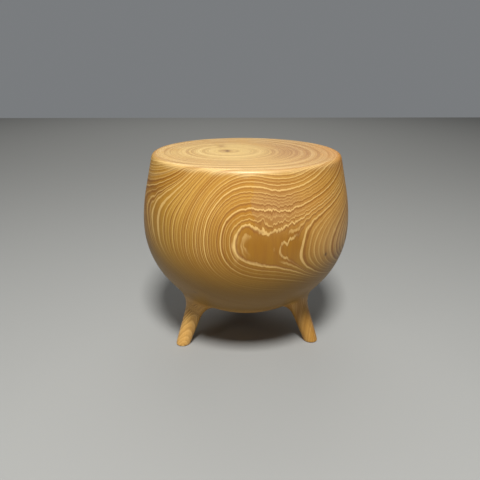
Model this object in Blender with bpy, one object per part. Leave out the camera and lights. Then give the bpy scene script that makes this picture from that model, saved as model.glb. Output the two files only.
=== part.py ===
"""A round wooden stool, turned and carved from one length of log.

The pot-bellied body and its three splayed legs are one piece of wood, so the model is one closed
solid. The body is a profile spun about +Z. Each leg then grows out of an opening that is left in
the belly: rings of vertices run from the belly, round a hollow flare and down to a flat foot.

Metres, +Z up. The origin is on the body's axis at floor level, and the front faces -Y.
"""

import math

import bmesh
import bpy
from mathutils import Vector

# Driving dimensions
HEIGHT = 0.350
BELLY_RADIUS = 0.188
WIDEST_HEIGHT = 0.2212
UNDERSIDE_HEIGHT = 0.0465
BELLY_FULLNESS = 0.56
SIDE_ARC_RADIUS = 0.300
SIDE_LEAN = math.radians(12.5)
RIM_ROUND = 0.008

LEG_DIRECTIONS = {"front_left": -60.0, "front_right": 60.0, "rear": 180.0}
FOOT_DISTANCE = 0.1406
LEG_SPLAY = math.atan(0.41)
FOOT_RADIUS = 0.0128
LEG_WIDENING = math.tan(math.radians(3.0))
FLARE_REACH = 0.030
SOLE_ROUND = 0.0025

# How finely the shape is divided
SECTORS = 48
BELLY_RINGS = 18
SIDE_ARC_RINGS = 3
RIM_RINGS = 4
LEG_OPENING_RINGS = (4, 12)
LEG_OPENING_HALF_ANGLE = math.radians(30.0)
FLARE_RINGS = 6
SOLE_RINGS = 3
ROOT_SEARCH_STEPS = 60

WOOD_COLOUR = (0.52, 0.31, 0.11, 1.0)
WOOD_ROUGHNESS = 0.38
SMOOTH_ANGLE = math.radians(35.0)


def belly_radius(height):
    """Radius of the belly below its widest line, at a height above the floor."""
    depth = (WIDEST_HEIGHT - height) / (WIDEST_HEIGHT - UNDERSIDE_HEIGHT)
    return BELLY_RADIUS * max(0.0, 1.0 - depth * depth) ** BELLY_FULLNESS


def belly_profile():
    """(radius, height) from the centre of the underside out to the widest line."""
    points = []
    for ring in range(BELLY_RINGS + 1):
        depth = math.cos(0.5 * math.pi * ring / BELLY_RINGS)
        height = WIDEST_HEIGHT - (WIDEST_HEIGHT - UNDERSIDE_HEIGHT) * depth
        points.append((belly_radius(height), height))
    return points


def side_profile():
    """(radius, height) above the widest line: an arc, a straight lean, then the rounded rim."""
    points = []
    for ring in range(1, SIDE_ARC_RINGS + 1):
        angle = SIDE_LEAN * ring / SIDE_ARC_RINGS
        radius = BELLY_RADIUS - SIDE_ARC_RADIUS * (1.0 - math.cos(angle))
        points.append((radius, WIDEST_HEIGHT + SIDE_ARC_RADIUS * math.sin(angle)))

    arc_radius, arc_height = points[-1]
    turn = 0.5 * math.pi - SIDE_LEAN
    rim_height = HEIGHT - RIM_ROUND + RIM_ROUND * math.sin(SIDE_LEAN)
    rim_radius = arc_radius - (rim_height - arc_height) * math.tan(SIDE_LEAN)
    points.append((rim_radius, rim_height))

    centre_radius = rim_radius - RIM_ROUND * math.cos(SIDE_LEAN)
    centre_height = HEIGHT - RIM_ROUND
    for ring in range(1, RIM_RINGS + 1):
        angle = SIDE_LEAN + turn * ring / RIM_RINGS
        radius = centre_radius + RIM_ROUND * math.cos(angle)
        points.append((radius, centre_height + RIM_ROUND * math.sin(angle)))
    return points


def spin_body(mesh):
    """Spins the profile about +Z and closes the flat top with one face."""
    profile = belly_profile() + side_profile()
    verts = [mesh.verts.new((0.0, -radius, height)) for radius, height in profile]
    edges = [mesh.edges.new(pair) for pair in zip(verts, verts[1:])]
    bmesh.ops.spin(
        mesh,
        geom=verts + edges,
        cent=(0.0, 0.0, 0.0),
        axis=(0.0, 0.0, 1.0),
        angle=2.0 * math.pi,
        steps=SECTORS,
    )
    bmesh.ops.remove_doubles(mesh, verts=mesh.verts[:], dist=1e-5)
    bmesh.ops.holes_fill(mesh, edges=mesh.edges[:], sides=SECTORS)


class Leg:
    """One leg: its own axes at the foot, and the rings that its surface is made of."""

    def __init__(self, direction_deg):
        angle = math.radians(direction_deg)
        self.outward = Vector((math.sin(angle), -math.cos(angle), 0.0))
        self.tangent = Vector((math.cos(angle), math.sin(angle), 0.0))
        self.foot = self.outward * FOOT_DISTANCE
        upright = Vector((0.0, 0.0, math.cos(LEG_SPLAY)))
        self.axis = upright - self.outward * math.sin(LEG_SPLAY)
        self.across = self.outward * math.cos(LEG_SPLAY) + Vector((0.0, 0.0, math.sin(LEG_SPLAY)))

    def point(self, along, distance, bearing):
        """The point this far along the leg and this far from its axis, on a bearing round it."""
        aside = self.across * math.cos(bearing) + self.tangent * math.sin(bearing)
        return self.foot + self.axis * along + aside * distance

    def bearing_of(self, place):
        """Bearing of a point round the leg's axis, 0 on the side that faces outwards."""
        offset = place - self.foot
        return math.atan2(offset.dot(self.tangent), offset.dot(self.across))

    def radius(self, along):
        """Radius of the leg, which widens evenly from the foot up."""
        return FOOT_RADIUS + along * LEG_WIDENING

    def along_at_belly(self, distance, bearing):
        """How far along the leg a line beside its axis goes in through the belly."""
        below, inside = 0.0, (WIDEST_HEIGHT - UNDERSIDE_HEIGHT) / math.cos(LEG_SPLAY)
        for _ in range(ROOT_SEARCH_STEPS):
            middle = 0.5 * (below + inside)
            place = self.point(middle, distance, bearing)
            if place.xy.length > belly_radius(place.z) or place.z < UNDERSIDE_HEIGHT:
                below = middle
            else:
                inside = middle
        return inside

    def along_at_floor(self, bearing, height):
        """How far along the leg its surface stands at a height above the floor."""
        lift = height / math.cos(LEG_SPLAY)
        lean = math.tan(LEG_SPLAY) * math.cos(bearing)
        return (lift - FOOT_RADIUS * lean) / (1.0 + LEG_WIDENING * lean)

    def flare_point(self, share, bearing):
        """A point on the hollow flare: share 0 lies on the belly, share 1 on the leg."""
        root_radius = self.radius(self.along_at_belly(FOOT_RADIUS, bearing))
        corner = self.along_at_belly(root_radius, bearing)
        outer = root_radius + FLARE_REACH
        start = Vector((outer, self.along_at_belly(outer, bearing)))
        bend = Vector((root_radius, corner))
        end = Vector((self.radius(corner - FLARE_REACH), corner - FLARE_REACH))
        curve = start * (1 - share) ** 2 + bend * 2 * share * (1 - share) + end * share**2
        return self.point(curve.y, curve.x, bearing)

    def sole_point(self, share, bearing):
        """A point on the sole's rounded edge: share 0 lies on the leg, share 1 on the floor."""
        turn = 0.5 * math.pi * share
        along = self.along_at_floor(bearing, SOLE_ROUND)
        edge = self.point(along, self.radius(along), bearing)
        inward = Vector((self.foot.x - edge.x, self.foot.y - edge.y, 0.0)).normalized()
        place = edge + inward * SOLE_ROUND * (1.0 - math.cos(turn))
        place.z = SOLE_ROUND * (1.0 - math.sin(turn))
        return place

    def covers(self, face):
        """Whether a face of the belly lies inside this leg's opening."""
        centre = face.calc_center_median()
        if centre.z > WIDEST_HEIGHT:
            return False
        first, last = LEG_OPENING_RINGS
        profile = belly_profile()
        turned = math.atan2(centre.xy.dot(self.tangent.xy), centre.xy.dot(self.outward.xy))
        in_rings = profile[first][1] < centre.z < profile[last][1]
        return in_rings and abs(turned) < LEG_OPENING_HALF_ANGLE

    def open_belly(self, mesh):
        """Cuts this leg's opening and returns its vertices, in order of bearing."""
        faces = [face for face in mesh.faces if self.covers(face)]
        bmesh.ops.delete(mesh, geom=faces, context="FACES")
        verts = {vert for edge in mesh.edges if edge.is_boundary for vert in edge.verts}
        return sorted(verts, key=lambda vert: self.bearing_of(vert.co))

    def grow(self, mesh):
        """Adds the flare, the shank and the sole, and closes the sole with one face."""
        ring = self.open_belly(mesh)
        count = len(ring)
        ragged = [self.bearing_of(vert.co) for vert in ring]
        start = sum(ragged) / count - math.pi * (count - 1) / count
        even = [start + 2.0 * math.pi * place / count for place in range(count)]

        rows = []
        for step in range(FLARE_RINGS + 1):
            share = step / FLARE_RINGS
            bearings = [old + (new - old) * share for old, new in zip(ragged, even)]
            rows.append([self.flare_point(share, bearing) for bearing in bearings])
        for step in range(SOLE_RINGS + 1):
            rows.append([self.sole_point(step / SOLE_RINGS, bearing) for bearing in even])

        for row in rows:
            fresh = [mesh.verts.new(place) for place in row]
            for place in range(count):
                following = (place + 1) % count
                corners = (ring[place], ring[following], fresh[following], fresh[place])
                mesh.faces.new(corners)
            ring = fresh
        mesh.faces.new(ring)


def wood():
    """Warm, satin-finished wood."""
    material = bpy.data.materials.new("satin_wood")
    material.use_nodes = True
    shader = material.node_tree.nodes["Principled BSDF"]
    shader.inputs["Base Color"].default_value = WOOD_COLOUR
    shader.inputs["Roughness"].default_value = WOOD_ROUGHNESS
    shader.inputs["Metallic"].default_value = 0.0
    return material


def stool():
    """The whole stool as one solid."""
    mesh = bmesh.new()
    spin_body(mesh)
    for direction in LEG_DIRECTIONS.values():
        Leg(direction).grow(mesh)
    bmesh.ops.recalc_face_normals(mesh, faces=mesh.faces[:])

    data = bpy.data.meshes.new("log_stool")
    mesh.to_mesh(data)
    mesh.free()
    data.shade_smooth()
    data.set_sharp_from_angle(angle=SMOOTH_ANGLE)
    data.materials.append(wood())
    piece = bpy.data.objects.new("log_stool", data)
    bpy.context.scene.collection.objects.link(piece)


def main():
    for leftover in list(bpy.data.objects):
        bpy.data.objects.remove(leftover)
    stool()


main()
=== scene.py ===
"""A pot-bellied wooden stool, turned and carved from one length of log.

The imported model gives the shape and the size. This script makes the stool again as one smooth
piece, dresses it in solid timber, and sets it on a pale floor under soft light. The timber's growth
rings are worked out in three dimensions from where the pith runs, so the figure on the top, the
belly, the flares and the legs is that of one log.
"""

import logging
import math
from dataclasses import dataclass
from enum import Enum
from functools import reduce
from typing import Callable, Iterable, Mapping, Sequence

import bmesh
import bpy
from mathutils import Matrix, Vector

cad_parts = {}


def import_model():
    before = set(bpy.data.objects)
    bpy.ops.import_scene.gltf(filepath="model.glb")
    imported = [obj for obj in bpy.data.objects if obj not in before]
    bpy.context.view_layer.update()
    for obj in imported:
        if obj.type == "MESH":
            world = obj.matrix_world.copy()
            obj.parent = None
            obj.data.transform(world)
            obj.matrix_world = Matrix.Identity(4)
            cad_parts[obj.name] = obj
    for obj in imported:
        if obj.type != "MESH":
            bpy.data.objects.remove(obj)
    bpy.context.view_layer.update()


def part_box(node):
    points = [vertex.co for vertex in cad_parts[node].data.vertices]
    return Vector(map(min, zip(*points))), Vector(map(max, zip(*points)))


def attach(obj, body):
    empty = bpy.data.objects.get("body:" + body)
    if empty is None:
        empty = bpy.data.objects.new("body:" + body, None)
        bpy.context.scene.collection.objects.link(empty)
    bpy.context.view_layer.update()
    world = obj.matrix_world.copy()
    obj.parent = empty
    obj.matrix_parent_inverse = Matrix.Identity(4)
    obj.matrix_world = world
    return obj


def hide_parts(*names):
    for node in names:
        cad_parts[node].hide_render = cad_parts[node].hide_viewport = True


log = logging.getLogger("log_stool")

CAD_NODE = "log_stool"
BODY_NAME = "root"
NEAR_DOUBLE = 1e-6

Place = tuple[float, float, float]
Colour = tuple[float, float, float]
Span = tuple[float, float]
Socket = bpy.types.NodeSocket
Tree = bpy.types.NodeTree
Outputs = Mapping[str, Socket]

WHOLE: Span = (0.0, 1.0)
FALLING: Span = (1.0, 0.0)
FIRM_EDGE: Span = (0.85, 1.15)
NOISE_MIDDLE = 0.5
NOISE_GAIN = 3.0


# ---------------------------------------------------------------- working by hand


def deselect_everything() -> None:
    """Leaves object mode with nothing selected."""
    if bpy.context.object and bpy.context.object.mode != "OBJECT":
        bpy.ops.object.mode_set(mode="OBJECT")
    bpy.ops.object.select_all(action="DESELECT")


class Workpiece:
    """A mesh on the bench in edit mode, with the few moves that shape it."""

    def __init__(self, name: str, sides: int, radius: float, height: float) -> None:
        """Starts the piece as an open ring.

        Args:
            name: The finished object's name.
            sides: Number of vertices round the ring.
            radius: The ring's radius.
            height: The ring's height above the floor.
        """
        deselect_everything()
        bpy.ops.mesh.primitive_circle_add(
            vertices=sides, radius=radius, fill_type="NOTHING", location=(0.0, 0.0, height)
        )
        self.object = bpy.context.object
        self.object.name = name
        self.object.data.name = name
        bpy.ops.object.transform_apply(location=True, rotation=True, scale=True)
        bpy.ops.object.mode_set(mode="EDIT")
        bpy.ops.mesh.select_all(action="SELECT")

    @property
    def mesh(self) -> bmesh.types.BMesh:
        """The mesh being edited."""
        return bmesh.from_edit_mesh(self.object.data)

    def refresh(self) -> None:
        """Shows Blender the changes made to the mesh."""
        bmesh.update_edit_mesh(self.object.data)

    def select_edges(self, chosen: Callable[[bmesh.types.BMEdge], bool]) -> None:
        """Selects the edges that a test picks, and nothing else.

        Args:
            chosen: Says whether an edge is wanted.
        """
        bpy.ops.mesh.select_mode(type="EDGE")
        bpy.ops.mesh.select_all(action="DESELECT")
        for edge in self.mesh.edges:
            if chosen(edge):
                edge.select = True
        self.mesh.select_flush_mode()
        self.refresh()

    def select_faces(self, chosen: Callable[[bmesh.types.BMFace], bool]) -> None:
        """Selects the faces that a test picks, and nothing else.

        Args:
            chosen: Says whether a face is wanted.
        """
        bpy.ops.mesh.select_mode(type="FACE")
        bpy.ops.mesh.select_all(action="DESELECT")
        for face in self.mesh.faces:
            if chosen(face):
                face.select = True
        self.mesh.select_flush_mode()
        self.refresh()

    def raise_ring(self, radius: float, height: float) -> None:
        """Pulls the selected ring out into a new one.

        Args:
            radius: The new ring's radius.
            height: The new ring's height above the floor.
        """
        ring = [vert for vert in self.mesh.verts if vert.select]
        scale = radius / ring[0].co.xy.length
        lift = height - ring[0].co.z
        bpy.ops.mesh.extrude_edges_move(TRANSFORM_OT_translate={"value": (0.0, 0.0, lift)})
        bpy.ops.transform.resize(value=(scale, scale, 1.0), center_override=(0.0, 0.0, height))

    def pull_ring_to(self, places: Sequence[Vector], order: Callable[[Vector], float]) -> None:
        """Pulls the selected ring out into a new one whose every vertex has its own place.

        Args:
            places: Where the new vertices go, in order.
            order: Gives the value that the vertices are ordered by.
        """
        bpy.ops.mesh.extrude_edges_move()
        ring = [vert for vert in self.mesh.verts if vert.select]
        ring.sort(key=lambda vert: order(vert.co))
        for vert, place in zip(ring, places, strict=True):
            vert.co = place
        self.refresh()

    def close_with_grid(self, span: int, height_of: Callable[[float], float]) -> None:
        """Fills the selected ring with a grid of quads laid on a surface of revolution.

        Args:
            span: Number of quads along one side of the grid.
            height_of: Height of the surface at a distance from the axis.
        """
        bpy.ops.mesh.fill_grid(span=span)
        for vert in self.mesh.verts:
            if vert.select and all(face.select for face in vert.link_faces):
                vert.co.z = height_of(vert.co.xy.length)
        self.refresh()

    def finish(self, smoothing: int) -> bpy.types.Object:
        """Turns the faces outwards and subdivides the piece.

        Args:
            smoothing: Levels of subdivision.

        Returns:
            The finished object.
        """
        bpy.ops.mesh.select_all(action="SELECT")
        bpy.ops.mesh.remove_doubles(threshold=NEAR_DOUBLE)
        bpy.ops.mesh.normals_make_consistent(inside=False)
        bpy.ops.object.mode_set(mode="OBJECT")
        rounding = self.object.modifiers.new("rounding", "SUBSURF")
        rounding.levels = smoothing
        rounding.render_levels = smoothing
        bpy.ops.object.modifier_apply(modifier=rounding.name)
        bpy.ops.object.shade_smooth()
        return self.object


# ---------------------------------------------------------------- the stool


class LegPlace(Enum):
    """Where the legs stand, in degrees round the body from the front."""

    FRONT_LEFT = -60.0
    FRONT_RIGHT = 60.0
    REAR = 180.0


@dataclass
class Belly:
    """The turned body: a full belly below, a gentle lean above and a soft rim.

    Attributes:
        height: Height of the flat top.
        radius: Radius at the widest line.
        widest: Height of the widest line.
        underside: Height of the lowest point.
        fullness: Power that sets how full the belly is.
        arc_radius: Radius of the side's curve above the widest line.
        lean: Angle that the side leans in by.
        rim_round: Radius of the rim.
        sides: Vertices round a ring.
        belly_steps: Rings from the lowest point up to the widest line.
        underside_steps: How many of those the grid underneath stands for.
        arc_steps: Rings round the side's curve.
        side_steps: Rings up the straight side.
        rim_steps: Rings round the rim.
        flat_top_rings: Rings on the flat top, as shares of its radius.
    """

    height: float
    radius: float
    underside: float = 0.0465
    widest: float = 0.2212
    fullness: float = 0.56
    arc_radius: float = 0.300
    lean: float = math.radians(12.5)
    rim_round: float = 0.008
    sides: int = 48
    belly_steps: int = 18
    underside_steps: int = 3
    arc_steps: int = 5
    side_steps: int = 5
    rim_steps: int = 4
    flat_top_rings: tuple[float, ...] = (0.985, 0.93, 0.8)

    def radius_at(self, height: float) -> float:
        """Radius of the belly at a height below its widest line."""
        depth = (self.widest - height) / (self.widest - self.underside)
        return self.radius * max(0.0, 1.0 - depth * depth) ** self.fullness

    def height_at(self, radius: float) -> float:
        """Height of the belly's underside at a distance from the axis."""
        share = min(1.0, radius / self.radius) ** (1.0 / self.fullness)
        return self.widest - (self.widest - self.underside) * math.sqrt(1.0 - share)

    @property
    def cage_swell(self) -> float:
        """How much wider a ring starts than it is once subdivision has pulled it in."""
        return 3.0 / (2.0 + math.cos(2.0 * math.pi / self.sides))

    def step_height(self, step: int) -> float:
        """Height of a ring of the belly, counted from the lowest point."""
        depth = math.cos(0.5 * math.pi * step / self.belly_steps)
        return self.widest - (self.widest - self.underside) * depth

    def belly_rings(self) -> list[tuple[float, float]]:
        """Radius and height of each ring from the underside up to the widest line."""
        heights = [self.step_height(step) for step in range(self.underside_steps, self.belly_steps + 1)]
        return [(self.radius_at(height), height) for height in heights]

    def side_rings(self) -> list[tuple[float, float]]:
        """Follows the side from above the widest line up to the flat top.

        Returns:
            Radius and height of each ring.
        """
        rings = []
        for step in range(1, self.arc_steps + 1):
            angle = self.lean * step / self.arc_steps
            radius = self.radius - self.arc_radius * (1.0 - math.cos(angle))
            rings.append((radius, self.widest + self.arc_radius * math.sin(angle)))

        arc_radius, arc_height = rings[-1]
        rim_height = self.height - self.rim_round * (1.0 - math.sin(self.lean))
        rim_radius = arc_radius - (rim_height - arc_height) * math.tan(self.lean)
        for step in range(1, self.side_steps + 1):
            share = step / self.side_steps
            radius = arc_radius + (rim_radius - arc_radius) * share
            rings.append((radius, arc_height + (rim_height - arc_height) * share))

        centre_radius = rim_radius - self.rim_round * math.cos(self.lean)
        centre_height = self.height - self.rim_round
        for step in range(1, self.rim_steps + 1):
            angle = self.lean + (0.5 * math.pi - self.lean) * step / self.rim_steps
            radius = centre_radius + self.rim_round * math.cos(angle)
            rings.append((radius, centre_height + self.rim_round * math.sin(angle)))
        return rings

    def turn(self, name: str) -> Workpiece:
        """Makes the body, closed below and above.

        Args:
            name: The finished object's name.

        Returns:
            The body in edit mode.
        """
        smooth = self.belly_rings() + self.side_rings()
        rings = [(radius * self.cage_swell, height) for radius, height in smooth]
        flat_radius = rings[-1][0]
        rings += [(flat_radius * share, self.height) for share in self.flat_top_rings]

        first_radius, first_height = rings[0]
        piece = Workpiece(name, self.sides, first_radius, first_height)
        for radius, height in rings[1:]:
            piece.raise_ring(radius, height)
        piece.close_with_grid(self.sides // 4, lambda _: self.height)
        piece.select_edges(lambda edge: edge.is_boundary)
        piece.close_with_grid(self.sides // 4, self.height_at)
        return piece


@dataclass
class Leg:
    """A splayed leg that grows out of the belly through a hollow flare.

    Attributes:
        place: Which leg it is.
        belly: The body that it grows out of.
        foot_distance: Distance of the foot from the body's axis.
        splay: Lean of the leg from upright.
        foot_radius: Radius of the leg at the floor.
        widening: Growth of the radius along the leg.
        flare_reach: How far the flare reaches over the belly and down the leg.
        sole_round: Radius of the sole's edge.
        opening_steps: The belly's rings between which the leg's opening lies.
        opening_half_angle: Half the opening's angle round the body.
        flare_steps: Rings down the flare.
        shank_steps: Rings down the plain leg.
        sole_steps: Rings round the sole's edge.
        sole_rings: Rings on the flat sole, each as a share of the one outside it.
        search_steps: Halvings made to find where a line goes in through the belly.
    """

    place: LegPlace
    belly: Belly
    foot_distance: float = 0.1406
    splay: float = math.atan(0.41)
    foot_radius: float = 0.0128
    widening: float = math.tan(math.radians(3.0))
    flare_reach: float = 0.030
    sole_round: float = 0.0025
    opening_steps: tuple[int, int] = (4, 12)
    opening_half_angle: float = math.radians(30.0)
    flare_steps: int = 6
    shank_steps: int = 4
    sole_steps: int = 2
    sole_rings: tuple[float, ...] = (0.93, 0.7)
    search_steps: int = 40

    def __post_init__(self) -> None:
        """Works out the leg's own directions."""
        turn = math.radians(self.place.value)
        self.outward = Vector((math.sin(turn), -math.cos(turn), 0.0))
        self.tangent = Vector((math.cos(turn), math.sin(turn), 0.0))
        self.foot = self.outward * self.foot_distance
        upright = Vector((0.0, 0.0, 1.0))
        self.axis = upright * math.cos(self.splay) - self.outward * math.sin(self.splay)
        self.across = self.outward * math.cos(self.splay) + upright * math.sin(self.splay)

    def point(self, along: float, distance: float, bearing: float) -> Vector:
        """The point this far along the leg and from its axis, on a bearing round it."""
        aside = self.across * math.cos(bearing) + self.tangent * math.sin(bearing)
        return self.foot + self.axis * along + aside * distance

    def bearing_of(self, place: Vector) -> float:
        """Bearing of a point round the leg's axis, 0 on its outward side."""
        offset = place - self.foot
        return math.atan2(offset.dot(self.tangent), offset.dot(self.across))

    def radius(self, along: float) -> float:
        """Radius of the leg at a distance along it."""
        return self.foot_radius + along * self.widening

    def along_at_belly(self, distance: float, bearing: float) -> float:
        """Finds where a line beside the leg's axis goes in through the belly.

        Args:
            distance: How far beside the axis the line runs.
            bearing: On which side of it.

        Returns:
            The distance along the leg.
        """
        below, inside = 0.0, self.belly.widest / math.cos(self.splay)
        for _ in range(self.search_steps):
            middle = 0.5 * (below + inside)
            place = self.point(middle, distance, bearing)
            outside = place.xy.length > self.belly.radius_at(place.z)
            if outside or place.z < self.belly.underside:
                below = middle
            else:
                inside = middle
        return inside

    def along_at_floor(self, bearing: float, height: float) -> float:
        """Finds where the leg's surface stands at a height above the floor.

        Args:
            bearing: On which side of the leg.
            height: The height.

        Returns:
            The distance along the leg.
        """
        lean = math.tan(self.splay) * math.cos(bearing)
        lift = height / math.cos(self.splay)
        return (lift - self.foot_radius * lean) / (1.0 + self.widening * lean)

    def flare_point(self, share: float, bearing: float) -> Vector:
        """A point on the flare.

        Args:
            share: How far down it is: 0 lies on the belly, 1 on the leg.
            bearing: Bearing round the leg's axis.

        Returns:
            The point.
        """
        root = self.radius(self.along_at_belly(self.foot_radius, bearing))
        corner = self.along_at_belly(root, bearing)
        outer = root + self.flare_reach
        lower = corner - self.flare_reach
        start = Vector((outer, self.along_at_belly(outer, bearing)))
        end = Vector((self.radius(lower), lower))
        bend = Vector((root, corner))
        curve = start.lerp(bend, share).lerp(bend.lerp(end, share), share)
        return self.point(curve.y, curve.x, bearing)

    def shank_point(self, share: float, bearing: float) -> Vector:
        """A point on the plain leg.

        Args:
            share: How far down it is: 0 is at the flare, 1 is just above the sole.
            bearing: Bearing round the leg's axis.

        Returns:
            The point.
        """
        top = (self.flare_point(1.0, bearing) - self.foot).dot(self.axis)
        bottom = self.along_at_floor(bearing, self.sole_round)
        along = top + (bottom - top) * share
        return self.point(along, self.radius(along), bearing)

    def sole_point(self, share: float, bearing: float) -> Vector:
        """A point on the sole's rounded edge.

        Args:
            share: How far down it is: 0 is on the leg, 1 is on the floor.
            bearing: Bearing round the leg's axis.

        Returns:
            The point.
        """
        edge = self.shank_point(1.0, bearing)
        inward = Vector((self.foot.x - edge.x, self.foot.y - edge.y, 0.0)).normalized()
        turn = 0.5 * math.pi * share
        place = edge + inward * self.sole_round * (1.0 - math.cos(turn))
        place.z = self.sole_round * (1.0 - math.sin(turn))
        return place

    def covers(self, face: bmesh.types.BMFace) -> bool:
        """Tells whether a face of the belly lies inside this leg's opening.

        Args:
            face: The face.

        Returns:
            True where it does.
        """
        centre = face.calc_center_median()
        lowest, highest = (self.belly.step_height(step) for step in self.opening_steps)
        turned = math.atan2(centre.dot(self.tangent), centre.dot(self.outward))
        return lowest < centre.z < highest and abs(turned) < self.opening_half_angle

    def grow(self, piece: Workpiece) -> None:
        """Opens the belly and draws the leg out of it.

        Args:
            piece: The body in edit mode.
        """
        piece.select_faces(self.covers)
        bpy.ops.mesh.delete(type="FACE")
        piece.select_edges(lambda edge: edge.is_boundary)

        ragged = sorted(self.bearing_of(vert.co) for vert in piece.mesh.verts if vert.select)
        count = len(ragged)
        start = sum(ragged) / count - math.pi * (count - 1) / count
        even = [start + 2.0 * math.pi * place / count for place in range(count)]

        rows = []
        for step in range(self.flare_steps + 1):
            share = step / self.flare_steps
            bearings = [old + (new - old) * share for old, new in zip(ragged, even)]
            rows.append([self.flare_point(share, bearing) for bearing in bearings])
        for step in range(1, self.shank_steps + 1):
            rows.append([self.shank_point(step / self.shank_steps, bearing) for bearing in even])
        for step in range(1, self.sole_steps + 1):
            rows.append([self.sole_point(step / self.sole_steps, bearing) for bearing in even])
        for share in self.sole_rings:
            rows.append([self.foot.lerp(place, share) for place in rows[-1]])

        for row in rows:
            piece.pull_ring_to(row, self.bearing_of)
        piece.close_with_grid(count // 4, lambda _: 0.0)


@dataclass
class Stool:
    """The whole stool, one solid piece of timber."""

    belly: Belly
    smoothing: int = 2

    def build(self) -> bpy.types.Object:
        """Makes the stool.

        Returns:
            The finished object, with nothing on it yet.
        """
        piece = self.belly.turn("stool")
        for place in LegPlace:
            Leg(place, self.belly).grow(piece)
        return piece.finish(self.smoothing)


# ---------------------------------------------------------------- finishes


@dataclass(frozen=True)
class Grain:
    """The size of a noise pattern.

    Attributes:
        scale: How fine it is.
        upright: How fine it is up the log, as a share of that.
        detail: How many finer layers it has.
    """

    scale: float
    upright: float
    detail: float

    @property
    def stretch(self) -> Place:
        """What a place is multiplied by."""
        return (1.0, 1.0, self.upright)

    @property
    def inputs(self) -> dict[str, float]:
        """What a noise node's own inputs take."""
        return {"Scale": self.scale, "Detail": self.detail}


class Graph:
    """A node tree with short calls for the nodes that a finish is made of."""

    def __init__(self, tree: Tree) -> None:
        """Takes a tree to add to."""
        self.tree = tree

    def add(self, kind: str, **settings: object) -> bpy.types.Node:
        """Adds a node.

        Args:
            kind: The node's type.
            settings: Its properties.

        Returns:
            The node.
        """
        node = self.tree.nodes.new(kind)
        for name, value in settings.items():
            setattr(node, name, value)
        return node

    def feed(self, socket: Socket, value: object) -> None:
        """Links a socket to a value's socket, or sets it to a plain value.

        Args:
            socket: The input.
            value: What it takes.
        """
        if isinstance(value, Socket):
            self.tree.links.new(value, socket)
        elif socket.type == "RGBA" and len(value) == 3:
            socket.default_value = (*value, 1.0)
        else:
            socket.default_value = value

    def fed(self, kind: str, inputs: dict[str | int, object], **settings: object) -> Outputs:
        """Adds a node and feeds its inputs.

        Args:
            kind: The node's type.
            inputs: What each input takes, by its name or number.
            settings: The node's properties.

        Returns:
            The node's outputs.
        """
        node = self.add(kind, **settings)
        for key, value in inputs.items():
            self.feed(node.inputs[key], value)
        return node.outputs

    def group(self, tree: Tree, **values: object) -> Outputs:
        """The outputs of a node group whose inputs are fed by name."""
        return self.fed("ShaderNodeGroup", values, node_tree=tree)

    def math(self, operation: str, *values: object) -> Socket:
        """The result of a Math node."""
        return self.fed("ShaderNodeMath", dict(enumerate(values)), operation=operation)[0]

    def vector(self, operation: str, *values: object) -> Socket:
        """The vector result of a Vector Math node."""
        return self.fed("ShaderNodeVectorMath", dict(enumerate(values)), operation=operation)[0]

    def length(self, value: object) -> Socket:
        """The length of a vector."""
        return self.fed("ShaderNodeVectorMath", {0: value}, operation="LENGTH")["Value"]

    def part(self, place: object, axis: str) -> Socket:
        """One coordinate of a place."""
        return self.fed("ShaderNodeSeparateXYZ", {0: place})[axis]

    def total(self, values: Iterable[object]) -> object:
        """The sum of several values."""
        return reduce(lambda so_far, value: self.math("ADD", so_far, value), values)

    def product(self, *values: object) -> object:
        """The product of several values."""
        return reduce(lambda so_far, value: self.math("MULTIPLY", so_far, value), values)

    def noise(self, place: object, grain: Grain) -> Socket:
        """Smooth noise from 0 to 1 over a place."""
        inputs = {"Vector": self.vector("MULTIPLY", place, grain.stretch), **grain.inputs}
        return self.fed("ShaderNodeTexNoise", inputs, noise_dimensions="3D")["Fac"]

    def sway(self, place: object, grain: Grain, size: float) -> Socket:
        """Noise that swings from about -size to size."""
        swing = self.math("SUBTRACT", self.noise(place, grain), NOISE_MIDDLE)
        return self.math("MULTIPLY", swing, NOISE_GAIN * size)

    def noise_along(self, value: object, grain: Grain) -> Socket:
        """Smooth noise from 0 to 1 along a number."""
        inputs = {"W": value, **grain.inputs}
        return self.fed("ShaderNodeTexNoise", inputs, noise_dimensions="1D")["Fac"]

    def draw_for(self, value: object) -> Socket:
        """An even draw from 0 to 1 for each whole number."""
        return self.fed("ShaderNodeTexWhiteNoise", {"W": value}, noise_dimensions="1D")["Value"]

    def ramp(self, value: object, span: Span, carried: Span = (0.0, 1.0)) -> Socket:
        """Carries a value smoothly from one range into another, and holds it at the ends.

        Args:
            value: The value.
            span: The range that it comes from.
            carried: The range that it is carried into.

        Returns:
            The carried value.
        """
        inputs = {
            "Value": value,
            "From Min": span[0],
            "From Max": span[1],
            "To Min": carried[0],
            "To Max": carried[1],
        }
        return self.fed("ShaderNodeMapRange", inputs, interpolation_type="SMOOTHSTEP")["Result"]

    def band(self, phase: object, middle: float, flat: float, edge: float) -> Socket:
        """A mask that is 1 near a phase of the ring and falls to 0 at both sides."""
        away = self.math("ABSOLUTE", self.math("SUBTRACT", phase, middle))
        return self.ramp(away, (flat, flat + edge), FALLING)

    def mix(self, share: object, first: object, second: object) -> Socket:
        """Mixes two colours.

        Args:
            share: How much of the second shows.
            first: The first colour.
            second: The second colour.

        Returns:
            The mixed colour.
        """
        node = self.add("ShaderNodeMix", data_type="RGBA")
        sockets = [socket for socket in node.inputs if socket.enabled]
        for socket, value in zip(sockets, (share, first, second)):
            self.feed(socket, value)
        return next(socket for socket in node.outputs if socket.enabled)


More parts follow.
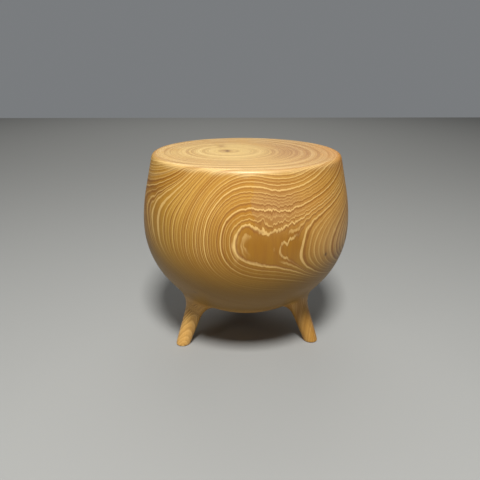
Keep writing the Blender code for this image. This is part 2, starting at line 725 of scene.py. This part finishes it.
def make_group(
    name: str, inputs: dict[str, str], outputs: dict[str, str]
) -> tuple[Graph, Outputs, Outputs]:
    """Starts a shader node group.

    Args:
        name: The group's name.
        inputs: Name and kind of each input, such as Vector or Float.
        outputs: Name and kind of each output.

    Returns:
        The group's graph, its inputs by name and its outputs by name.
    """
    tree = bpy.data.node_groups.new(name, "ShaderNodeTree")
    for direction, sockets in (("INPUT", inputs), ("OUTPUT", outputs)):
        for label, kind in sockets.items():
            tree.interface.new_socket(name=label, in_out=direction, socket_type="NodeSocket" + kind)
    graph = Graph(tree)
    entry = graph.add("NodeGroupInput")
    leave = graph.add("NodeGroupOutput")
    return (
        graph,
        {label: entry.outputs[label] for label in inputs},
        {label: leave.inputs[label] for label in outputs},
    )


def fade_group() -> Tree:
    """Makes the group that is 1 at a centre and fades to 0 round it, softly or at a firm edge.

    Returns:
        The group.
    """
    graph, given, out = make_group(
        "fade",
        {"Place": "Vector", "Centre": "Vector", "Spread": "Vector"},
        {"Soft": "Float", "Firm": "Float"},
    )
    offset = graph.vector("SUBTRACT", given["Place"], given["Centre"])
    reach = graph.length(graph.vector("DIVIDE", offset, given["Spread"]))
    graph.feed(out["Soft"], graph.math("EXPONENT", graph.product(reach, reach, -0.5)))
    graph.feed(out["Firm"], graph.ramp(reach, FIRM_EDGE, FALLING))
    return graph.tree


def beside(bearing: float, height: float, distance: float = 0.185) -> Place:
    """A place on the belly's side.

    Args:
        bearing: Degrees round the body from the front.
        height: Height above the floor.
        distance: Distance from the body's axis.

    Returns:
        The place.
    """
    turn = math.radians(bearing)
    return (distance * math.sin(turn), -distance * math.cos(turn), height)


@dataclass(frozen=True)
class Wave:
    """A slow wave in the spacing of the ring lines.

    Attributes:
        size: How far it moves a line, in rings.
        pace: How fast it runs, in radians for each ring.
        turn: Where it stands at the even ring, in radians.
    """

    size: float
    pace: float
    turn: float


@dataclass(frozen=True)
class Line:
    """A line that each ring has, measured in parts of a ring.

    Attributes:
        middle: Where its middle lies.
        flat: Half the width at full strength.
        edge: How far it takes to fade.
    """

    middle: float
    flat: float
    edge: float


@dataclass(frozen=True)
class TopBand:
    """A broad band of rings with a colour of its own on the flat top.

    Attributes:
        span: The range of the slow ring noise over which it comes in.
        colour: Its colour.
        share: How much of that colour shows at most.
    """

    span: Span
    colour: Colour
    share: float


@dataclass(frozen=True)
class Swelling:
    """A place where the log grew faster or slower than elsewhere.

    Attributes:
        centre: The middle of the swelling.
        rings: Rings gained at its middle, or lost where it is less than nothing.
        width: Spread across the log.
        length: Spread up and down the log.
    """

    centre: Place
    rings: float
    width: float
    length: float

    @property
    def spread(self) -> Place:
        """Spread along each axis."""
        return (self.width, self.width, self.length)


@dataclass(frozen=True)
class BoldRing:
    """A growth ring that stands out from the rest.

    Attributes:
        ring: Its count from the pith.
        half_width: Half its flat width, in rings.
        strength: How strongly it shows.
    """

    ring: float
    half_width: float
    strength: float


@dataclass(frozen=True)
class Arches:
    """A leg whose rings bow over it in a row of nested arches.

    Attributes:
        centre: The middle of the place where the arches lie.
        spread: Half its size along each axis.
        foot: Where the arches' middle line meets the floor, across the front.
        lean: How far that line moves across for each metre up.
        first: The ring at the floor.
        pace: Rings gained for each metre up.
        bow: How sharply the arches bow.
    """

    centre: Place
    spread: Place
    foot: float
    lean: float
    first: float
    pace: float
    bow: float


class Edge(Enum):
    """How a patch of colour ends."""

    SOFT = "Soft"
    FIRM = "Firm"


@dataclass(frozen=True)
class StainOrPaintedLight:
    """A patch of colour laid over the timber: a tone or mark of the wood itself, or painted light or
    shade.

    Attributes:
        centre: The middle of the patch.
        spread: Spread along each axis.
        colour: Its colour.
        share: How much of that colour shows at its middle.
        edge: How it ends.
        wall: Where a patch is cut off on its left by an upright line, or None.
    """

    centre: Place
    spread: Place
    colour: Colour
    share: float
    edge: Edge = Edge.SOFT
    wall: float | None = None


GOLD: Colour = (0.56, 0.295, 0.050)
ORANGE: Colour = (0.42, 0.185, 0.018)
BROWN: Colour = (0.25, 0.092, 0.010)
CREAM: Colour = (0.84, 0.56, 0.20)
LEMON: Colour = (0.66, 0.475, 0.165)
IVORY: Colour = (0.84, 0.65, 0.31)
HONEY: Colour = (0.60, 0.33, 0.085)
WHEAT: Colour = (0.76, 0.43, 0.12)
OAT: Colour = (0.52, 0.31, 0.13)
STRAW: Colour = (0.53, 0.385, 0.160)
PINK_TAN: Colour = (0.42, 0.225, 0.080)
ROSE_BROWN: Colour = (0.36, 0.185, 0.066)
MOSS: Colour = (0.36, 0.20, 0.012)
AMBER: Colour = (0.30, 0.125, 0.004)
RUST: Colour = (0.46, 0.18, 0.03)
UMBER: Colour = (0.25, 0.10, 0.015)
# Colour of the painted shade under the belly.
SHADE_OLIVE: Colour = (0.225, 0.115, 0.001)
SOOT: Colour = (0.07, 0.025, 0.006)


@dataclass(frozen=True)
class Figure:
    """What the timber's colour and gloss are worked out from, in its material.

    Attributes:
        graph: The material's graph.
        fade: The fade group.
        place: Where the surface is.
        height: Its height above the floor.
        on_top: 1 on the flat top.
        patches: Slow noise that colours come and go with.
        lines: Masks of the ring lines.
        fibre: Masks of the fibres and pores.
        open_pores: Mask of the pores that show.
    """

    graph: Graph
    fade: Tree
    place: Socket
    height: Socket
    on_top: Socket
    patches: Socket
    lines: Outputs
    fibre: Outputs
    open_pores: Socket

    def near(self, centre: Place, spread: Place) -> Outputs:
        """Masks of the timber round a centre, soft and firm."""
        return self.graph.group(self.fade, Place=self.place, Centre=centre, Spread=spread)


@dataclass(frozen=True)
class Timber:
    """The log that the stool was turned from, and its satin lacquer.

    A span is the range over which a mask changes. A share is how much of a colour shows at most.
    """

    pith: Place = (-0.0323, 0.0, 0.35)
    pith_lean: tuple[float, float] = (0.020, 0.010)
    ring_width: float = 0.0017
    first_ring: float = -0.44
    swellings: tuple[Swelling, ...] = (
        Swelling(beside(-10.0, 0.298), 11.7, 0.051, 0.114),
        Swelling(beside(20.0, 0.340), -5.4, 0.141, 0.088),
        Swelling(beside(-80.0, 0.313), 6.5, 0.126, 0.042),
        Swelling(beside(25.0, 0.283), 2.6, 0.053, 0.036),
        Swelling(beside(4.5, 0.262), -0.65, 0.015, 0.018),
        Swelling(beside(1.5, 0.230), -0.66, 0.014, 0.017),
        Swelling(beside(23.0, 0.236), -0.60, 0.011, 0.020),
        Swelling(beside(-60.5, 0.320), -0.75, 0.005, 0.026),
        Swelling((0.130, -0.075, 0.0), 7.0, 0.040, 0.060),
    )
    sways: tuple[tuple[Grain, float], ...] = (
        (Grain(16.0, 0.4, 1.0), 0.12),
        (Grain(110.0, 0.15, 1.0), 0.09),
    )
    flutes_centre: Place = beside(11.0, 0.286)
    flutes_spread: Place = (0.036, 0.05, 0.026)
    flutes_grain: Grain = Grain(120.0, 0.08, 3.0)
    flutes_rings: float = 1.05
    arches: Arches = Arches(
        centre=(-0.116, -0.067, 0.03),
        spread=(0.036, 0.036, 0.050),
        foot=-0.1218,
        lean=0.355,
        first=37.2,
        pace=85.0,
        bow=120.0,
    )
    arches_grain: Grain = Grain(60.0, 1.0, 2.0)
    arches_sway: float = 0.25

    bold_rings: tuple[BoldRing, ...] = (
        BoldRing(88.9, 0.20, 0.7),
        BoldRing(93.0, 0.05, 0.6),
        BoldRing(94.6, 0.06, 0.9),
        BoldRing(116.62, 0.07, 1.0),
        BoldRing(117.69, 0.03, 0.9),
    )
    bold_edge: float = 0.02
    even_ring: float = 116.86
    waves: tuple[Wave, ...] = (Wave(0.25, 1.3, 0.5 * math.pi), Wave(0.20, 0.29, 0.0))
    cream_line: Line = Line(0.15, 0.07, 0.09)
    brown_line: Line = Line(0.47, 0.07, 0.17)
    fine_line: Line = Line(0.68, 0.03, 0.09)
    cream_strengths: Span = (0.35, 1.0)
    brown_strengths: Span = (0.2, 0.9)
    brown_draw: float = 71.5
    zone_grain: Grain = Grain(0.17, 1.0, 2.0)

    streak_grain: Grain = Grain(700.0, 0.03, 3.0)
    streak_span: Span = (0.3, 0.7)
    broad_grain: Grain = Grain(190.0, 0.07, 3.0)
    broad_span: Span = (0.36, 0.66)
    pore_scale: float = 950.0
    pore_stretch: float = 0.06
    pore_span: Span = (0.16, 0.30)

    top_span: Span = (0.344, 0.349)
    legs_span: Span = (0.075, 0.105)
    # Painted shade under the belly: the heights over which it darkens, and how much of it shows.
    painted_shade_span: Span = (0.300, 0.150)
    painted_shade_share: float = 0.92
    patch_grain: Grain = Grain(9.0, 0.6, 2.0)
    zone_weight: float = 0.5
    tone_span: Span = (0.38, 0.62)
    wander_grain: Grain = Grain(28.0, 1.0, 2.0)
    wander_size: Place = (0.03, 0.03, 0.012)
    broken_span: Span = (0.34, 0.60)
    broken_shares: Span = (0.3, 1.0)
    top_bands: tuple[TopBand, ...] = (
        TopBand((0.50, 0.59), BROWN, 0.48),
        TopBand((0.45, 0.37), IVORY, 0.28),
    )
    quiet_centre: Place = beside(8.0, 0.2345)
    quiet_spread: Place = (0.047, 0.06, 0.026)
    fine_centre: Place = beside(-28.0, 0.262)
    fine_spread: Place = (0.055, 0.05, 0.055)
    clear_slope: float = 0.18
    clear_span: Span = (0.166, 0.224)
    clear_shares: Span = (0.12, 1.0)
    cream_share: float = 0.70
    brown_share: float = 0.82
    fine_share: float = 0.55
    streak_share: float = 0.14
    broad_share: float = 0.08
    quiet_broad_share: float = 0.34
    pore_share: float = 0.5
    wall_edge: float = 0.001
    # Patches laid over the timber, most of them the wood's own tones; those marked painted are light or
    # shade.
    stains_and_painted_light: tuple[StainOrPaintedLight, ...] = (
        # Partly painted sheen: the whole flat top is laid over with a paler straw tone, partly the top's
        # own paler wood and partly the sheen of light grazing across it.
        StainOrPaintedLight((0.0, 0.0, 0.355), (0.5, 0.5, 0.006), STRAW, 0.75),
        StainOrPaintedLight(beside(-52.0, 0.225), (0.05, 0.05, 0.05), MOSS, 0.55),
        StainOrPaintedLight(beside(-22.0, 0.222), (0.065, 0.05, 0.038), AMBER, 0.52),
        StainOrPaintedLight((-0.0430, -0.002, 0.35), (0.092, 0.088, 0.012), LEMON, 0.45, Edge.FIRM),
        StainOrPaintedLight((-0.0215, -0.004, 0.35), (0.067, 0.076, 0.012), LEMON, 0.7, Edge.FIRM),
        # Painted highlight: a pale band along the front of the rim, where the rounded edge catches the
        # light.
        StainOrPaintedLight((-0.01, -0.165, 0.3462), (0.16, 0.09, 0.0030), IVORY, 0.36),
        StainOrPaintedLight((0.095, -0.005, 0.35), (0.044, 0.10, 0.012), ROSE_BROWN, 0.95),
        StainOrPaintedLight((0.158, -0.020, 0.345), (0.020, 0.08, 0.012), RUST, 0.8),
        StainOrPaintedLight(beside(12.0, 0.292), (0.042, 0.05, 0.028), PINK_TAN, 0.8, wall=-0.0015),
        StainOrPaintedLight(beside(38.0, 0.285), (0.040, 0.05, 0.030), RUST, 0.35),
        StainOrPaintedLight(beside(47.0, 0.232), (0.050, 0.05, 0.034), HONEY, 0.6),
        StainOrPaintedLight(beside(57.0, 0.222), (0.030, 0.04, 0.022), OAT, 0.55),
        StainOrPaintedLight(beside(3.0, 0.234), (0.024, 0.03, 0.024), AMBER, 0.92),
        StainOrPaintedLight(beside(18.0, 0.236), (0.020, 0.03, 0.022), AMBER, 0.9),
        StainOrPaintedLight(beside(-61.0, 0.302), (0.016, 0.03, 0.005), UMBER, 0.6),
        StainOrPaintedLight(beside(-56.0, 0.262), (0.006, 0.01, 0.014), UMBER, 0.4),
        StainOrPaintedLight(beside(-8.4, 0.236), (0.0035, 0.01, 0.012), CREAM, 0.7),
        StainOrPaintedLight(beside(-4.7, 0.236), (0.0009, 0.01, 0.008), CREAM, 0.6),
        StainOrPaintedLight(beside(-3.6, 0.236), (0.0007, 0.01, 0.007), CREAM, 0.4),
        # Partly painted light: the front-left leg is laid over with a pale wheat tone, partly the leg's
        # paler wood and partly the light that falls on that leg.
        StainOrPaintedLight((-0.115, -0.068, 0.025), (0.03, 0.03, 0.045), WHEAT, 0.8),
    )
    marks: tuple[StainOrPaintedLight, ...] = (
        StainOrPaintedLight(beside(40.5, 0.2056), (0.002, 0.004, 0.0025), SOOT, 0.9),
        StainOrPaintedLight(beside(-35.5, 0.137, 0.160), (0.003, 0.004, 0.0015), SOOT, 0.5),
        StainOrPaintedLight((-0.038, 0.003, 0.35), (0.008, 0.010, 0.01), UMBER, 0.55),
        StainOrPaintedLight((-0.034, -0.001, 0.35), (0.0025, 0.006, 0.01), SOOT, 0.8),
        StainOrPaintedLight((-0.044, 0.053, 0.35), (0.005, 0.010, 0.01), UMBER, 0.6),
    )

    roughness: float = 0.46
    roughness_moves: Place = (0.05, 0.3, 0.04)
    gloss: float = 0.42
    coat_weight: float = 0.10
    coat_roughness: float = 0.32
    relief: float = 0.00006
    relief_moves: Place = (-0.5, -1.0, -0.3)

    def growth_group(self, fade: Tree) -> Tree:
        """Makes the group that counts growth rings outwards from the pith.

        Args:
            fade: The fade group.

        Returns:
            The group.
        """
        graph, given, out = make_group("growth", {"Place": "Vector"}, {"Rings": "Float"})
        place = given["Place"]
        height = graph.part(place, "Z")
        above = graph.math("SUBTRACT", height, self.pith[2])
        leans = {axis: graph.math("MULTIPLY", above, lean) for axis, lean in zip("XY", self.pith_lean)}
        drift = graph.fed("ShaderNodeCombineXYZ", leans)[0]
        from_pith = graph.vector("SUBTRACT", graph.vector("SUBTRACT", place, self.pith), drift)
        flat = graph.vector("MULTIPLY", from_pith, (1.0, 1.0, 0.0))
        parts: list[object] = [graph.math("DIVIDE", graph.length(flat), self.ring_width), self.first_ring]
        for swelling in self.swellings:
            near = graph.group(fade, Place=place, Centre=swelling.centre, Spread=swelling.spread)
            parts.append(graph.math("MULTIPLY", near["Soft"], swelling.rings))
        parts += [graph.sway(place, grain, size) for grain, size in self.sways]
        fluted = graph.group(fade, Place=place, Centre=self.flutes_centre, Spread=self.flutes_spread)
        flutes = graph.sway(place, self.flutes_grain, self.flutes_rings)
        parts.append(graph.math("MULTIPLY", flutes, fluted["Soft"]))
        rings = graph.total(parts)

        arches = self.arches
        middle = graph.math("MULTIPLY_ADD", height, arches.lean, arches.foot)
        aside = graph.math("SUBTRACT", graph.part(place, "X"), middle)
        bowed = graph.math("ADD", height, graph.product(aside, aside, arches.bow))
        arched = graph.math("MULTIPLY_ADD", bowed, arches.pace, arches.first)
        arched = graph.math("ADD", arched, graph.sway(place, self.arches_grain, self.arches_sway))
        here = graph.group(fade, Place=place, Centre=arches.centre, Spread=arches.spread)
        change = graph.product(graph.math("SUBTRACT", arched, rings), here["Firm"])
        graph.feed(out["Rings"], graph.math("ADD", rings, change))
        return graph.tree

    def line_group(self) -> Tree:
        """Makes the group that turns the ring count into light and dark lines of uneven strength.

        Returns:
            The group.
        """
        labels = ("Cream", "Brown", "Bold", "Fine", "Zone")
        graph, given, out = make_group("ring_lines", {"Rings": "Float"}, dict.fromkeys(labels, "Float"))
        rings = given["Rings"]
        count: object = rings
        for wave in self.waves:
            angle = graph.math("MULTIPLY_ADD", rings, wave.pace, wave.turn - wave.pace * self.even_ring)
            count = graph.math("MULTIPLY_ADD", graph.math("SINE", angle), wave.size, count)
        phase = graph.math("FRACT", count)
        year = graph.math("FLOOR", count)
        light = graph.ramp(graph.draw_for(year), WHOLE, self.cream_strengths)
        other = graph.math("ADD", year, self.brown_draw)
        dark = graph.ramp(graph.draw_for(other), WHOLE, self.brown_strengths)
        for label, line, strength in (
            ("Cream", self.cream_line, light),
            ("Fine", self.fine_line, light),
            ("Brown", self.brown_line, dark),
        ):
            drawn = graph.band(phase, line.middle, line.flat, line.edge)
            graph.feed(out[label], graph.product(drawn, strength))
        bold: object = 0.0
        for ring in self.bold_rings:
            edge = ring.half_width + self.bold_edge
            here = graph.band(rings, ring.ring + self.first_ring, ring.half_width, edge)
            bold = graph.math("MAXIMUM", bold, graph.product(here, ring.strength))
        graph.feed(out["Bold"], bold)
        graph.feed(out["Zone"], graph.noise_along(rings, self.zone_grain))
        return graph.tree

    def fibre_group(self) -> Tree:
        """Makes the group of fine fibres and open pores that run up the log.

        Returns:
            The group.
        """
        labels = ("Streaks", "Broad", "Pores")
        graph, given, out = make_group("fibre", {"Place": "Vector"}, dict.fromkeys(labels, "Float"))
        place = given["Place"]
        graph.feed(out["Streaks"], graph.ramp(graph.noise(place, self.streak_grain), self.streak_span))
        graph.feed(out["Broad"], graph.ramp(graph.noise(place, self.broad_grain), self.broad_span))
        inputs = {
            "Vector": graph.vector("MULTIPLY", place, (1.0, 1.0, self.pore_stretch)),
            "Scale": self.pore_scale,
            "Randomness": 1.0,
        }
        cells = graph.fed("ShaderNodeTexVoronoi", inputs, feature="F1", distance="EUCLIDEAN")
        graph.feed(out["Pores"], graph.ramp(cells["Distance"], self.pore_span, FALLING))
        return graph.tree

    def figure(self, graph: Graph) -> Figure:
        """Lays the rings, fibres and masks into the material.

        Args:
            graph: The material's graph.

        Returns:
            What the colour and gloss are worked out from.
        """
        place = graph.add("ShaderNodeTexCoord").outputs["Object"]
        fade = fade_group()
        rings = graph.group(self.growth_group(fade), Place=place)["Rings"]
        lines = graph.group(self.line_group(), Rings=rings)
        fibre = graph.group(self.fibre_group(), Place=place)
        height = graph.part(place, "Z")
        return Figure(
            graph=graph,
            fade=fade,
            place=place,
            height=height,
            on_top=graph.ramp(height, self.top_span),
            patches=graph.noise(place, self.patch_grain),
            lines=lines,
            fibre=fibre,
            open_pores=graph.product(fibre["Pores"], lines["Brown"], self.pore_share),
        )

    def ground(self, figure: Figure) -> object:
        """Works out the colour under the ring lines: the timber's own colour, with painted shade under
        the belly and patches laid over it, some of them painted light.

        Args:
            figure: What it is worked out from.

        Returns:
            The colour.
        """
        graph = figure.graph
        slow = graph.product(figure.patches, 1.0 - self.zone_weight)
        tone = graph.math("MULTIPLY_ADD", figure.lines["Zone"], self.zone_weight, slow)
        colour = graph.mix(graph.ramp(tone, self.tone_span), GOLD, ORANGE)
        # Painted shade: lower down the body the colour darkens to olive, standing in for the shade under
        # the belly; the legs are kept out of it.
        off_legs = graph.ramp(figure.height, self.legs_span)
        below = graph.product(graph.ramp(figure.height, self.painted_shade_span), off_legs, self.painted_shade_share)
        colour = graph.mix(below, colour, SHADE_OLIVE)
        wandering = self.wandering(figure)
        for colour_patch in self.stains_and_painted_light:
            colour = self.stained_or_painted(figure, wandering, colour, colour_patch)
        return colour

    def with_bands(self, figure: Figure, colour: object) -> object:
        """Lays broad darker and paler bands of rings over the flat top.

        Args:
            figure: What they are worked out from.
            colour: The colour so far.

        Returns:
            The new colour.
        """
        graph = figure.graph
        broken = graph.ramp(figure.patches, self.broken_span, self.broken_shares)
        for band in self.top_bands:
            zone = graph.ramp(figure.lines["Zone"], band.span)
            share = graph.product(figure.on_top, zone, broken, band.share)
            colour = graph.mix(share, colour, band.colour)
        return colour

    def with_lines(self, figure: Figure, colour: object) -> object:
        """Draws the ring lines, the fibres and the pores over the colour.

        Args:
            figure: What they are worked out from.
            colour: The colour so far.

        Returns:
            The new colour.
        """
        graph, lines, fibre = figure.graph, figure.lines, figure.fibre
        still = figure.near(self.quiet_centre, self.quiet_spread)
        finer = figure.near(self.fine_centre, self.fine_spread)
        lively = graph.math("SUBTRACT", 1.0, still["Firm"])
        across = graph.part(figure.place, "X")
        sloping = graph.math("MULTIPLY_ADD", across, self.clear_slope, figure.height)
        on_legs = graph.ramp(figure.height, self.legs_span, FALLING)
        clear = graph.math("MAXIMUM", graph.ramp(sloping, self.clear_span, self.clear_shares), on_legs)
        thin = graph.product(lines["Fine"], finer["Firm"], self.fine_share)
        usual = graph.product(graph.math("MAXIMUM", lines["Cream"], thin), lively)
        off_top = graph.math("SUBTRACT", 1.0, figure.on_top)
        streaked = graph.math("MULTIPLY_ADD", still["Soft"], self.quiet_broad_share, self.broad_share)
        for share, line_colour in (
            (graph.product(graph.math("MAXIMUM", usual, lines["Bold"]), clear, self.cream_share), CREAM),
            (graph.product(lines["Brown"], lively, clear, self.brown_share), BROWN),
            (graph.product(fibre["Streaks"], self.streak_share), BROWN),
            (graph.product(fibre["Broad"], streaked, off_top), BROWN),
            (figure.open_pores, SOOT),
        ):
            colour = graph.mix(share, colour, line_colour)
        return colour

    def moved(self, figure: Figure, value: float, moves: Place) -> object:
        """Moves a value by the brown lines, the open pores and the streaks.

        Args:
            figure: Holds their masks.
            value: The value without them.
            moves: How far each moves it.

        Returns:
            The moved value.
        """
        masks = (figure.lines["Brown"], figure.open_pores, figure.fibre["Streaks"])
        return figure.graph.total([value, *map(figure.graph.product, masks, moves)])

    def dress(self, piece: bpy.types.Object) -> None:
        """Gives a piece this timber.

        Args:
            piece: The finished object.
        """
        material = bpy.data.materials.new("satin_wood")
        material.use_nodes = True
        shader = material.node_tree.nodes["Principled BSDF"]
        graph = Graph(material.node_tree)
        figure = self.figure(graph)

        colour = self.with_lines(figure, self.with_bands(figure, self.ground(figure)))
        for mark in self.marks:
            colour = self.stained_or_painted(figure, figure.place, colour, mark)
        graph.feed(shader.inputs["Base Color"], colour)

        graph.feed(shader.inputs["Roughness"], self.moved(figure, self.roughness, self.roughness_moves))
        shader.inputs["Specular IOR Level"].default_value = self.gloss
        shader.inputs["Coat Weight"].default_value = self.coat_weight
        shader.inputs["Coat Roughness"].default_value = self.coat_roughness

        sunk = self.moved(figure, 0.0, self.relief_moves)
        bump = graph.fed("ShaderNodeBump", {"Distance": self.relief, "Strength": 1.0, "Height": sunk})
        graph.feed(shader.inputs["Normal"], bump["Normal"])

        piece.data.materials.clear()
        piece.data.materials.append(material)

    def stained_or_painted(self, figure: Figure, place: object, colour: object, colour_patch: StainOrPaintedLight) -> Socket:
        """Lays a patch over a colour: a tone or mark of the wood itself, or painted light or shade.

        Args:
            figure: Holds the material's graph and the fade group.
            place: Where the surface is.
            colour: The colour so far.
            colour_patch: The patch to lay.

        Returns:
            The new colour.
        """
        graph = figure.graph
        here = graph.group(figure.fade, Place=place, Centre=colour_patch.centre, Spread=colour_patch.spread)
        share = graph.product(here[colour_patch.edge.value], colour_patch.share)
        if colour_patch.wall is not None:
            walled = (colour_patch.wall - self.wall_edge, colour_patch.wall + self.wall_edge)
            share = graph.product(share, graph.ramp(graph.part(place, "X"), walled))
        return graph.mix(share, colour, colour_patch.colour)

    def wandering(self, figure: Figure) -> Socket:
        """Shifts the place a little either way, so that patches have uneven edges.

        Args:
            figure: Holds the place.

        Returns:
            The shifted place.
        """
        graph = figure.graph
        inputs = {"Vector": figure.place, **self.wander_grain.inputs}
        cloud = graph.fed("ShaderNodeTexNoise", inputs, noise_dimensions="3D")["Color"]
        swing = graph.vector("SUBTRACT", cloud, (NOISE_MIDDLE, NOISE_MIDDLE, NOISE_MIDDLE))
        return graph.vector("ADD", figure.place, graph.vector("MULTIPLY", swing, self.wander_size))


# ---------------------------------------------------------------- the studio


@dataclass(frozen=True)
class Lamp:
    """A soft square light.

    Attributes:
        name: Its name.
        place: Where it hangs.
        target: What it points at.
        size: Its side.
        power: Its power in watts.
    """

    name: str
    place: Place
    target: Place
    size: float
    power: float

    def hang(self) -> None:
        """Hangs the light."""
        data = bpy.data.lights.new(self.name, "AREA")
        data.size = self.size
        data.energy = self.power
        light = bpy.data.objects.new(self.name, data)
        light.location = self.place
        aim = Vector(self.target) - Vector(self.place)
        light.rotation_euler = aim.to_track_quat("-Z", "Y").to_euler()
        bpy.context.scene.collection.objects.link(light)


@dataclass
class Studio:
    """A pale floor, soft light from above and the camera.

    Attributes:
        eye_height: Height of the camera above the floor.
        eye_distance: Its distance from the stool's axis.
        eye_bearing: Degrees that it stands round from the front.
        aside: How far it stands to the left of the line to the axis.
        pitch: Angle that it looks down at.
        roll: Angle that it is turned by about its own line of sight.
        field_of_view: Angle that it sees across.
        floor_side: The floor's side.
        sky_strength: Strength of the even light from all round.
        sky_seen: Strength of the backdrop as the camera sees it.
    """

    eye_height: float = 0.4948
    eye_distance: float = 0.856
    eye_bearing: float = -3.45
    aside: float = 0.0106
    pitch: float = math.radians(20.2)
    roll: float = 0.005
    field_of_view: float = 2.0 * math.atan(0.5035)
    floor_side: float = 8.0
    floor_colour: Colour = (0.31, 0.31, 0.295)
    floor_roughness: float = 0.9
    sky_colour: Colour = (0.92, 0.96, 1.0)
    sky_strength: float = 0.048
    sky_seen: float = 0.21
    lamps: tuple[Lamp, ...] = (
        Lamp("ceiling_front", (-0.06, -1.27, 2.16), (0.0, 0.0, 0.2), 0.5, 83.0),
        Lamp("ceiling_back", (0.0, 3.2, 3.2), (0.0, 2.4, 0.0), 3.0, 60.0),
        Lamp("side_left", (-1.5, -1.2, 1.3), (0.0, 0.0, 0.1), 0.5, 2.5),
    )

    def lay_floor(self) -> None:
        """Lays the floor."""
        deselect_everything()
        bpy.ops.mesh.primitive_plane_add(size=self.floor_side, location=(0.0, 0.0, 0.0))
        floor = bpy.context.object
        floor.name = "floor"
        material = bpy.data.materials.new("floor")
        material.use_nodes = True
        shader = material.node_tree.nodes["Principled BSDF"]
        shader.inputs["Base Color"].default_value = (*self.floor_colour, 1.0)
        shader.inputs["Roughness"].default_value = self.floor_roughness
        floor.data.materials.append(material)

    def light(self) -> None:
        """Lights the stool softly from above."""
        for lamp in self.lamps:
            lamp.hang()
        world = bpy.data.worlds.new("studio")
        world.use_nodes = True
        graph = Graph(world.node_tree)
        backdrop = world.node_tree.nodes["Background"]
        backdrop.inputs["Color"].default_value = (*self.sky_colour, 1.0)
        seen = graph.add("ShaderNodeLightPath").outputs["Is Camera Ray"]
        strength = graph.ramp(seen, WHOLE, (self.sky_strength, self.sky_seen))
        graph.feed(backdrop.inputs["Strength"], strength)
        bpy.context.scene.world = world
        bpy.context.scene.view_settings.view_transform = "Standard"

    def set_camera(self) -> None:
        """Sets the camera."""
        data = bpy.data.cameras.new("camera")
        data.sensor_fit = "HORIZONTAL"
        data.angle = self.field_of_view
        data.clip_start = 0.01
        camera = bpy.data.objects.new("camera", data)
        turn = math.radians(self.eye_bearing)
        forward = Vector((-math.sin(turn), math.cos(turn), 0.0))
        right = Vector((math.cos(turn), math.sin(turn), 0.0))
        eye = -forward * self.eye_distance - right * self.aside
        camera.location = (eye.x, eye.y, self.eye_height)
        camera.rotation_mode = "XYZ"
        aim = forward * math.cos(self.pitch) - Vector((0.0, 0.0, math.sin(self.pitch)))
        straight = aim.to_track_quat("-Z", "Y").to_matrix()
        camera.rotation_euler = (straight @ Matrix.Rotation(self.roll, 3, "Z")).to_euler()
        bpy.context.scene.collection.objects.link(camera)
        bpy.context.scene.camera = camera


def main() -> None:
    """Builds the stool in its studio."""
    logging.basicConfig(level=logging.INFO, format="%(message)s")
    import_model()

    lowest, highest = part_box(CAD_NODE)
    belly = Belly(height=highest[2], radius=highest[0])
    stool = Stool(belly).build()
    Timber().dress(stool)
    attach(stool, BODY_NAME)
    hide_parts(CAD_NODE)
    log.info("stool: %d faces", len(stool.data.polygons))

    studio = Studio()
    studio.lay_floor()
    studio.light()
    studio.set_camera()


if __name__ == "__main__":
    main()
